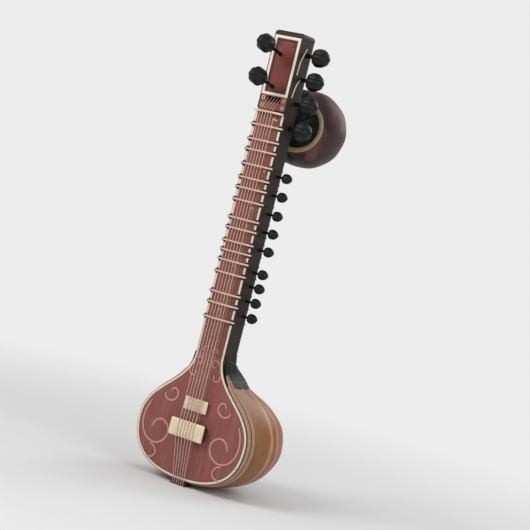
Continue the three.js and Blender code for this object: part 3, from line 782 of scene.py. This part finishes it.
def stations(half, count):
    """Places across a beam, closer together near its ends."""
    return np.sin(np.linspace(-1, 1, count) * math.pi / 2) * half


def bridge(name, plate):
    """A slightly domed bone plate on a wooden body whose arch leaves two feet."""
    low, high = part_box(name)
    half = high.x
    skin = plate * 0.6
    domed = beam(stations(half, 41), low.y, low.y + skin, low.z, high.z, 32, crown=0.0009)
    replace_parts(piece(f"{name}_plate", domed, "bone"), name)
    x = stations(half - 0.0022, 61)
    share = np.clip(np.abs(x) / (half * 0.50), 0, 1)
    span, sole = low.y + plate + 0.001, -0.0001
    arch = span + (sole - span) * np.clip((share - 0.55) / 0.3, 0, 1) ** 0.6
    step = (high.z - low.z) * 0.09
    body = beam(x, low.y + skin - 0.0004, arch, low.z + step, high.z - step)
    piece(f"{name}_body", body, "bridge_wood")


def bridges():
    bridge("main_bridge", 0.009)
    bridge("small_bridge", 0.006)
    low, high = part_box("nut")
    bar = beam(stations(high.x, 31), low.y, high.y, low.z, high.z, 24, 3.2)
    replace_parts(piece("nut_bar", bar, "cream"), "nut")
    low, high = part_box("chikari_post")
    tall = high.y - low.y
    pin, faces = turned([(0, 0), (0.0026, 0), (0.0026, 0.0012), (0.0017, 0.0022), (0.0017, tall - 0.0042),
                         (0.0021, tall - 0.0032), (0.0021, tall - 0.0010), (0.0013, tall), (0, tall)], 18)
    middle = (low + high) / 2
    points = np.stack([pin[:, 0] + middle.x, high.y - pin[:, 2], pin[:, 1] + middle.z], 1)
    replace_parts(piece("chikari_pin", (points, faces), "bone"), "chikari_post")


# ---- frets ----

OBSTACLES = ([(z, SMALL_SHAFT) for z in SMALL_PEGS]
             + [(SIDE_PEGS[3], SIDE_SHAFT), (TUMBA_CENTRE.z, STUD_FLANGE)])


def clear_height(z):
    """The nearest height to z where a thread round the neck clears peg rings and stud as it slides."""
    margin = 0.0048
    room = FRET_SLIDE + margin
    for step in range(60):
        for sign in (1, -1):
            trial = z + sign * step * 0.0005
            if all(abs(trial - place) > radius + room for place, radius in OBSTACLES):
                return trial
    return z


def neck_profile(lift):
    """(x, y) points round the back of the neck from its right edge to its left, lifted off the wood."""
    turn = np.linspace(0, math.pi, 33)
    arc = np.stack([(NECK_HALF + lift) * np.cos(turn),
                    NECK_SIDE + (NECK_DEPTH - NECK_SIDE + lift) * np.sin(turn)], 1)
    edge = np.linspace(0.004, NECK_SIDE, 14)[:-1]
    side = np.stack([np.full(len(edge), NECK_HALF + lift), edge], 1)
    return np.vstack([side, arc, side[::-1] * (-1, 1)])


def fret_rod(name, z):
    """An arched bar whose ends turn down beside the neck."""
    x = np.linspace(-1, 1, 41) * (FRET_SPAN - 0.0010)
    y = -0.0029 - (FRET_CROWN - 0.0029) * (1 - (x / FRET_SPAN) ** 2)
    arch = np.stack([x, y, np.full(len(x), z)], 1)
    foot = np.array([(0.0472, -0.0016, z), (0.0477, 0.0012, z), (0.0477, 0.0060, z)])
    path = np.vstack([foot[::-1] * (-1, 1, 1), arch, foot])
    up = np.cross(np.gradient(path, axis=0), (0, 0, 1.0))
    rod = piece(f"{name}_rod", sweep(path, pillow(0.0048, 0.0044, 12, 2.6), up=up), "brass", name)
    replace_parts(rod, name)


def fret_ties(name, z):
    """Dark thread: two turns round the neck's back and a close wrap over each end of the fret."""
    threads = []
    back = clear_height(z)
    profile = neck_profile(0.0013)
    ease = np.clip(np.sin(np.linspace(0, math.pi, len(profile))) * 2.2, 0, 1)
    for shift in (-0.0008, 0.0008):
        height = z + (back - z) * ease + shift
        loop = np.stack([profile[:, 0], profile[:, 1], height], 1)
        threads.append(sweep(loop, pillow(0.0014, 0.0014, 8), up=(0, 0, 1)))
    pitch, bar_half = 0.0013, 0.0022
    strands = [k * pitch for k in range(-5, 6) if abs(k * pitch) > bar_half]
    path = [(0.0362, 0.0004), (0.0372, -0.0010), (0.0436, -0.0011), (0.0452, -0.0004), (0.0457, 0.0010),
            (0.0458, 0.0090), (0.0452, 0.0110)]
    for side in (1, -1):
        for shift in strands:
            strand = np.array([(side * px, py, z + shift) for px, py in path])
            threads.append(sweep(strand, pillow(0.0015, 0.0015, 8), up=(0, 0, 1)))
        for k in range(3):
            threads.append(hoop((side * 0.0477, 0.0010 + k * 0.0019, z), 0.0034, 1, 0.0024, 0.0020, 18))
    piece(f"{name}_ties", merged(threads), "thread", name)


def frets():
    for number in range(1, 17):
        name = f"fret_{number:02d}"
        z = sum(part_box(name), Vector()).z / 2
        fret_rod(name, z)
        fret_ties(name, z)


# ---- strings ----


def corner_wire(points, width):
    """A wire with slightly rounded corners through the given points."""
    points = np.asarray(points, float)
    path = [points[0]]
    for before, corner, after in zip(points, points[1:], points[2:]):
        for end in (before, after):
            path.append(corner + (end - corner) * min(0.3, 0.002 / np.linalg.norm(end - corner)))
    path.append(points[-1])
    return sweep(path, pillow(width, width, 8), up=(1, 0, 0))


def sympathetic_strings():
    """Fine wires from the tail, over the small bridge and under the frets, each into the neck by its peg."""
    wires, eyes = [], []
    over = small_bridge_low.y - 0.0005
    for i, z_peg in enumerate(SMALL_PEGS):
        x_bridge = 0.022 - 0.0055 * i
        x_end = 0.026 - 0.004 * i
        points = [(x_bridge * 0.8, -0.0036, 0.026), (x_bridge, over, small_bridge_low.z),
                  (x_bridge, over, small_bridge_high.z), (x_end, -0.0010, z_peg + 0.004),
                  (x_end, 0.006, z_peg + 0.009)]
        wires.append(corner_wire(points, 0.0009))
        eyes.append(hoop((x_end, -0.0003, z_peg + 0.006), 0.0021, 1, 0.0013, 0.0013, 16))
    piece("sympathetic_strings", merged(wires), "wire")
    piece("sympathetic_string_eyes", merged(eyes), "bone")


# ---- pegs ----


def peg_shape(inside, outside, shaft, bud, length, lobes, depth):
    """A turned peg along +Z with a fluted bud, broad near the shaft, and a small pointed tip."""
    start = outside + length * 0.06
    stretch = length * 0.86
    curve = smooth_line([(0.45, 0), (0.84, 0.06), (0.98, 0.20), (1.0, 0.40), (0.95, 0.60), (0.78, 0.79),
                         (0.50, 0.92), (0.20, 1.0)], 28)
    profile = [(0, -inside), (shaft * 0.8, -inside), (shaft, outside - 0.001), (shaft * 1.5, outside),
               (shaft * 1.7, outside + length * 0.03), (shaft * 1.35, outside + length * 0.05)]
    profile += [(bud * r, start + stretch * h) for r, h in curve]
    tip = outside + length
    profile += [(bud * 0.18, tip - length * 0.06), (bud * 0.14, tip - length * 0.02), (0, tip)]

    def lobe(height, turn):
        t = np.clip((height - start) / stretch, 0, 1)
        return 1 - depth * math.sin(math.pi * t) ** 0.8 * (0.5 - 0.5 * np.cos(lobes * turn))
    return turned(profile, 48, lobe)


def pegs():
    joints = {joint["child"]: joint for joint in frame["joints"]}
    big = {"bud": 0.0245, "length": 0.050, "lobes": 8, "depth": 0.12}
    slim = {"bud": 0.0132, "length": 0.030, "lobes": 6, "depth": 0.10}
    large = peg_shape(inside=0.072, outside=0.020, shaft=SIDE_SHAFT, **big)
    front = peg_shape(inside=0.048, outside=0.058, shaft=FACE_SHAFT, **big)
    small = peg_shape(inside=0.056, outside=0.017, shaft=SMALL_SHAFT, **slim)
    rows = ([(f"side_peg_{i}", large) for i in range(1, 5)] + [(f"face_peg_{i}", front) for i in (1, 2)]
            + [(f"small_peg_{i}", small) for i in range(1, 10)])
    for name, (points, faces) in rows:
        joint = joints[name]
        turn = Vector((0, 0, 1)).rotation_difference(Vector(joint["axis"])).to_matrix()
        placed = [turn @ Vector(point) + Vector(joint["pos_m"]) for point in points]
        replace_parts(piece(f"{name}_turned", (placed, faces), "peg", name), name)


def peg_bushes():
    """Thin dark rings set into the wood round each side peg hole."""
    rings = []
    for z, shaft in [(z, SIDE_SHAFT) for z in SIDE_PEGS] + [(z, SMALL_SHAFT) for z in SMALL_PEGS]:
        rings.append(hoop((NECK_HALF + 0.0002, PEG_LINE, z), shaft + 0.0018, 0, 0.0020, 0.0016))
    piece("peg_hole_rings", merged(rings), "peg")


# ---- upper gourd: heights run along its own axis toward the mouth ----


def tumba_piece(name, shape, paint, attributes=None):
    points, faces = shape
    placed = [TUMBA_PLACE @ Vector((x, -height, z)) for x, z, height in points]
    return piece(name, (placed, faces), paint, "tumba", attributes)


def upper_gourd():
    stop = math.pi - math.asin(TUMBA_MOUTH / TUMBA_RADIUS)
    profile = [(TUMBA_RADIUS * math.sin(a), -TUMBA_LENGTH * math.cos(a)) for a in np.linspace(0, stop, 56)]
    profile.append((0, profile[-1][1]))
    points, faces = turned(profile, 96, lambda height, turn: 1 + 0.006 * np.cos(turn * 10))
    depth = (MOUTH - points[:, 2]) / (MOUTH + TUMBA_LENGTH)
    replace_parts(tumba_piece("upper_gourd_body", (points, faces), "tumba", {"lat": depth}), "upper_gourd")
    rim = hoop((0, 0, MOUTH + 0.0022), TUMBA_MOUTH - 0.003, 2, 0.0125, 0.0064, 96, 18)
    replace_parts(tumba_piece("upper_gourd_rim", rim, "ring"), "upper_gourd_ring")


def rosette():
    """The dark carved disc in the mouth: shallow petals round the stud's end."""
    count, rows = 120, 30
    radius = TUMBA_MOUTH - 0.0083
    back, front, dome, carved = MOUTH - 0.003, MOUTH + 0.0012, 0.0055, 0.0018
    turn = np.linspace(0, 2 * math.pi, count, endpoint=False)
    circle = np.stack([radius * np.cos(turn), radius * np.sin(turn)], 1)
    petal = np.abs(np.cos(turn * 5)) ** 0.6
    points = [(0, 0, back)] + [(x, y, back) for x, y in circle]
    relief = [0.0] * (count + 1)
    for share in np.linspace(1.0, 0.04, rows):
        swell = math.sin(math.pi * share)
        height = front + dome * (1 - share) + carved * petal * swell ** 0.6
        points += [(x, y, z) for (x, y), z in zip(circle * share, height)]
        relief += list(petal * swell)
    points.append((0, 0, front + dome))
    relief.append(0.3)
    disc = (points, capped(rows + 1, count))
    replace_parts(tumba_piece("upper_gourd_rosette", disc, "carving", {"relief": relief}), "upper_gourd_disc")


def petals():
    """Dark carved leaves on the upper gourd, above and below where it meets the neck."""
    parts, relief = [], []
    across, along = np.meshgrid(np.linspace(-1, 1, 21), np.linspace(0, 1, 31))
    vein = np.exp(-(across / 0.14) ** 2)
    ribs = 0.5 + 0.5 * np.cos((along * 8 + np.abs(across) * 2) * 2 * math.pi)
    swell = (1 - across ** 2) ** 0.5 * (0.5 + 0.3 * vein + 0.2 * ribs)
    for direction in (215, 250, 145, 110, 180):
        width = 0.34 * np.sin(math.pi * (0.04 + 0.96 * along) ** 0.75) ** 0.9
        turn = math.radians(direction) + across * width
        polar = math.asin(TUMBA_MOUTH / TUMBA_RADIUS) + 0.06 + along * 0.7

        def surface(lift):
            radius = (TUMBA_RADIUS + lift) * np.sin(polar)
            return np.stack([radius * np.cos(turn), radius * np.sin(turn),
                             (TUMBA_LENGTH + lift) * np.cos(polar)], -1)
        parts.append(closed_sheet(surface(0.0006 + 0.0034 * swell), surface(-0.002)))
        relief += list(swell.reshape(-1)) + [0.0] * swell.size
    tumba_piece("upper_gourd_leaves", merged(parts), "carving", {"relief": relief})


# ---- frame nodes that stay, with their materials ----


def dress(node_name, paint, ease=0.0):
    """Gives a frame node its material, smooth shading and, if asked, eased edges."""
    node = frame["nodes"][node_name]
    node.data.materials.clear()
    node.data.materials.append(PAINT[paint])
    node.data.shade_smooth()
    node.data.set_sharp_from_angle(angle=math.radians(35))
    if ease:
        bevel = node.modifiers.new("ease", "BEVEL")
        bevel.width = ease
        bevel.segments = 3
        bevel.limit_method = "ANGLE"
        bevel.angle_limit = math.radians(30)


def dress_frame():
    for name, paint, ease in (("neck_shell", "neck", 0), ("head_block", "neck", 0.0008),
                              ("head_cap", "neck", 0.0015), ("neck_face_plate", "fingerboard", 0.0005),
                              ("head_panel", "panel", 0.0005), ("head_panel_frame", "cream", 0.0012),
                              ("crest_plate", "fingerboard", 0.0005), ("tailpiece", "neck", 0.0012),
                              ("upper_gourd_stud", "neck", 0.001)):
        dress(name, paint, ease)
    for i in range(1, 7):
        dress(f"string_{i}", "string")


# ---- stage, light and camera ----

PALE = 0.84                                # brightness of floor and background


def floor():
    """A pale floor that fades into the background with distance."""
    reach = 30.0
    mesh = bpy.data.meshes.new("floor")
    corners = [(-reach, -reach), (reach, -reach), (reach, reach), (-reach, reach)]
    mesh.from_pydata([(x, y, -0.0005) for x, y in corners], [], [(0, 1, 2, 3)])
    made = bpy.data.objects.new("floor", mesh)
    bpy.context.scene.collection.objects.link(made)
    p = Paint("floor", 0.9, specular=0.0)
    tone = p.ramp(p.noise(2, 2), [(0.0, "d9d9da"), (1.0, "dedede")])
    p.link(tone, p.surface.inputs["Base Color"])
    far = p.node("ShaderNodeEmission")
    far.inputs["Color"].default_value = (PALE, PALE, PALE * 1.01, 1)
    length = p.node("ShaderNodeVectorMath", operation="LENGTH")
    p.link(p.coords.outputs["Object"], length.inputs[0])
    fade = p.node("ShaderNodeMapRange", interpolation_type="SMOOTHSTEP")
    fade.inputs["From Min"].default_value = 0.5
    fade.inputs["From Max"].default_value = 2.6
    p.link(length.outputs["Value"], fade.inputs["Value"])
    blend = p.node("ShaderNodeMixShader")
    p.link(fade.outputs["Result"], blend.inputs[0])
    p.link(p.surface.outputs[0], blend.inputs[1])
    p.link(far.outputs[0], blend.inputs[2])
    p.link(blend.outputs[0], p.tree.nodes["Material Output"].inputs["Surface"])
    mesh.materials.append(p.material)


def world():
    """A plain pale background that lights the scene more softly than it looks."""
    made = bpy.data.worlds.new("studio")
    made.use_nodes = True
    tree = made.node_tree
    background = tree.nodes["Background"]
    background.inputs["Color"].default_value = (PALE, PALE, PALE * 1.01, 1)
    path = tree.nodes.new("ShaderNodeLightPath")
    strength = tree.nodes.new("ShaderNodeMapRange")
    strength.inputs["To Min"].default_value = 0.62
    strength.inputs["To Max"].default_value = 1.0
    tree.links.new(path.outputs["Is Camera Ray"], strength.inputs["Value"])
    tree.links.new(strength.outputs["Result"], background.inputs["Strength"])
    bpy.context.scene.world = made


def area_light(name, place, target, size, power):
    data = bpy.data.lights.new(name, "AREA")
    data.size = size
    data.energy = power
    lamp = bpy.data.objects.new(name, data)
    lamp.location = place
    lamp.rotation_euler = (Vector(target) - Vector(place)).to_track_quat("-Z", "Y").to_euler()
    bpy.context.scene.collection.objects.link(lamp)


def lights():
    area_light("key", (-1.2, -2.6, 2.4), (0, 0, 0.6), 1.6, 62)
    area_light("fill", (2.6, -1.2, 1.4), (0, 0.1, 0.5), 1.8, 30)
    area_light("back", (0.6, 2.8, 2.4), (0, 0, 0.7), 1.8, 34)


def camera():
    """Eye at the height of the instrument's middle, toward the peg side, head leaning right."""
    turn, rise, roll = math.radians(32), math.radians(2), math.radians(14)
    middle, distance = Vector((0.035, 0.10, 0.612)), 4.6
    direction = Vector((math.sin(turn) * math.cos(rise), -math.cos(turn) * math.cos(rise), math.sin(rise)))
    data = bpy.data.cameras.new("camera")
    data.lens = 118
    eye = bpy.data.objects.new("camera", data)
    eye.location = middle + direction * distance
    aim = (-direction).to_track_quat("-Z", "Y").to_matrix() @ Matrix.Rotation(roll, 3, "Z")
    eye.rotation_euler = aim.to_euler()
    bpy.context.scene.collection.objects.link(eye)
    bpy.context.scene.camera = eye


for build in (soundboard, binding, lower_gourd, rim_band, collar, scrolls, head_details, bridges,
              frets, sympathetic_strings, pegs, peg_bushes, upper_gourd, rosette, petals,
              dress_frame, floor, world, lights, camera):
    build()
bpy.context.scene.view_settings.view_transform = "Standard"
